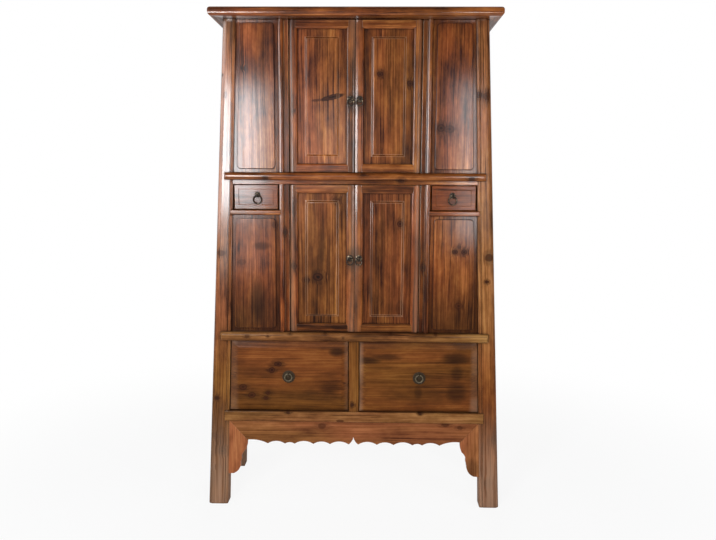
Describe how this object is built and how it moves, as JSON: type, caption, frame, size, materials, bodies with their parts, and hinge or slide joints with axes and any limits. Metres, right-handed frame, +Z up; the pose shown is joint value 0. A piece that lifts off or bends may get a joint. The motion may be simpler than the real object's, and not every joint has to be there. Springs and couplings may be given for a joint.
{
  "type": "chinese wedding cabinet",
  "caption": "Tall inward-leaning lacquered cabinet with pivot doors in tiers, small drawers, large drawers, ring pulls and a scalloped apron.",
  "frame": {"origin": "on the floor, under the middle of the cap", "axes": "+X to the viewer's right, +Y to the back, +Z up; the doors face -Y"},
  "size_m": [1.214, 0.55, 2],
  "materials": {
    "lacquered_wood": "worn gloss lacquer",
    "inner_wood": "dry, planed",
    "aged_brass": "dark patina"
  },
  "bodies": {
    "case": {"cap_front_rail": "lacquered_wood", "cap_back_rail": "inner_wood", "cap_end_rails": "lacquered_wood", "cap_panel": "inner_wood", "front_left_post": "lacquered_wood", "front_right_post": "lacquered_wood", "back_left_post": "lacquered_wood", "back_right_post": "lacquered_wood", "mid_rail": "lacquered_wood", "lower_rail": "lacquered_wood", "bottom_rail": "lacquered_wood", "mullions": "lacquered_wood", "small_drawer_rails": "lacquered_wood", "large_drawer_divider": "lacquered_wood", "upper_fixed_panels": "lacquered_wood", "lower_fixed_panels": "lacquered_wood", "apron": "lacquered_wood", "spandrels": "lacquered_wood", "side_rails": "lacquered_wood", "side_panels": "inner_wood", "back_rails": "inner_wood", "back_panels": "inner_wood", "deck_boards": "inner_wood", "runners_and_bearers": "inner_wood"},
    "upper_left_door": {"upper_left_door_stiles": "lacquered_wood", "upper_left_door_rails": "lacquered_wood", "upper_left_door_panel": "lacquered_wood", "upper_left_door_pull_plate": "aged_brass"},
    "upper_left_door_ring": {"upper_left_door_pull_ring": "aged_brass"},
    "upper_right_door": {"upper_right_door_stiles": "lacquered_wood", "upper_right_door_rails": "lacquered_wood", "upper_right_door_panel": "lacquered_wood", "upper_right_door_pull_plate": "aged_brass"},
    "upper_right_door_ring": {"upper_right_door_pull_ring": "aged_brass"},
    "lower_left_door": {"lower_left_door_stiles": "lacquered_wood", "lower_left_door_rails": "lacquered_wood", "lower_left_door_panel": "lacquered_wood", "lower_left_door_pull_plate": "aged_brass"},
    "lower_left_door_ring": {"lower_left_door_pull_ring": "aged_brass"},
    "lower_right_door": {"lower_right_door_stiles": "lacquered_wood", "lower_right_door_rails": "lacquered_wood", "lower_right_door_panel": "lacquered_wood", "lower_right_door_pull_plate": "aged_brass"},
    "lower_right_door_ring": {"lower_right_door_pull_ring": "aged_brass"},
    "small_left_drawer": {"small_left_drawer_front": "lacquered_wood", "small_left_drawer_box": "inner_wood", "small_left_drawer_pull_plate": "aged_brass"},
    "small_left_drawer_ring": {"small_left_drawer_pull_ring": "aged_brass"},
    "small_right_drawer": {"small_right_drawer_front": "lacquered_wood", "small_right_drawer_box": "inner_wood", "small_right_drawer_pull_plate": "aged_brass"},
    "small_right_drawer_ring": {"small_right_drawer_pull_ring": "aged_brass"},
    "large_left_drawer": {"large_left_drawer_front": "lacquered_wood", "large_left_drawer_box": "inner_wood", "large_left_drawer_pull_plate": "aged_brass"},
    "large_left_drawer_ring": {"large_left_drawer_pull_ring": "aged_brass"},
    "large_right_drawer": {"large_right_drawer_front": "lacquered_wood", "large_right_drawer_box": "inner_wood", "large_right_drawer_pull_plate": "aged_brass"},
    "large_right_drawer_ring": {"large_right_drawer_pull_ring": "aged_brass"}
  },
  "joints": [
    {"name": "upper_left_door_pivot", "type": "hinge", "parent": "case", "child": "upper_left_door", "pos_m": [-0.245, -0.195, 1.6725], "axis": [0, 0, -1], "range_deg": [0, 90]},
    {"name": "upper_left_door_ring_swing", "type": "hinge", "parent": "upper_left_door", "child": "upper_left_door_ring", "pos_m": [-0.0175, -0.2188, 1.664], "axis": [-1, 0, 0], "range_deg": [0, 90]},
    {"name": "upper_right_door_pivot", "type": "hinge", "parent": "case", "child": "upper_right_door", "pos_m": [0.245, -0.195, 1.6725], "axis": [0, 0, 1], "range_deg": [0, 90]},
    {"name": "upper_right_door_ring_swing", "type": "hinge", "parent": "upper_right_door", "child": "upper_right_door_ring", "pos_m": [0.0175, -0.2188, 1.664], "axis": [-1, 0, 0], "range_deg": [0, 90]},
    {"name": "lower_left_door_pivot", "type": "hinge", "parent": "case", "child": "lower_left_door", "pos_m": [-0.245, -0.195, 1.03575], "axis": [0, 0, -1], "range_deg": [0, 90]},
    {"name": "lower_left_door_ring_swing", "type": "hinge", "parent": "lower_left_door", "child": "lower_left_door_ring", "pos_m": [-0.0175, -0.2188, 1.04], "axis": [-1, 0, 0], "range_deg": [0, 90]},
    {"name": "lower_right_door_pivot", "type": "hinge", "parent": "case", "child": "lower_right_door", "pos_m": [0.245, -0.195, 1.03575], "axis": [0, 0, 1], "range_deg": [0, 90]},
    {"name": "lower_right_door_ring_swing", "type": "hinge", "parent": "lower_right_door", "child": "lower_right_door_ring", "pos_m": [0.0175, -0.2188, 1.04], "axis": [-1, 0, 0], "range_deg": [0, 90]},
    {"name": "small_left_drawer_slide", "type": "slide", "parent": "case", "child": "small_left_drawer", "axis": [0, -1, 0], "range_m": [0, 0.24]},
    {"name": "small_left_drawer_ring_swing", "type": "hinge", "parent": "small_left_drawer", "child": "small_left_drawer_ring", "pos_m": [-0.386, -0.2198, 1.288], "axis": [-1, 0, 0], "range_deg": [0, 90]},
    {"name": "small_right_drawer_slide", "type": "slide", "parent": "case", "child": "small_right_drawer", "axis": [0, -1, 0], "range_m": [0, 0.24]},
    {"name": "small_right_drawer_ring_swing", "type": "hinge", "parent": "small_right_drawer", "child": "small_right_drawer_ring", "pos_m": [0.386, -0.2198, 1.288], "axis": [-1, 0, 0], "range_deg": [0, 90]},
    {"name": "large_left_drawer_slide", "type": "slide", "parent": "case", "child": "large_left_drawer", "axis": [0, -1, 0], "range_m": [0, 0.28]},
    {"name": "large_left_drawer_ring_swing", "type": "hinge", "parent": "large_left_drawer", "child": "large_left_drawer_ring", "pos_m": [-0.267, -0.2208, 0.564], "axis": [-1, 0, 0], "range_deg": [0, 90]},
    {"name": "large_right_drawer_slide", "type": "slide", "parent": "case", "child": "large_right_drawer", "axis": [0, -1, 0], "range_m": [0, 0.28]},
    {"name": "large_right_drawer_ring_swing", "type": "hinge", "parent": "large_right_drawer", "child": "large_right_drawer_ring", "pos_m": [0.267, -0.2208, 0.564], "axis": [-1, 0, 0], "range_deg": [0, 90]}
  ]
}
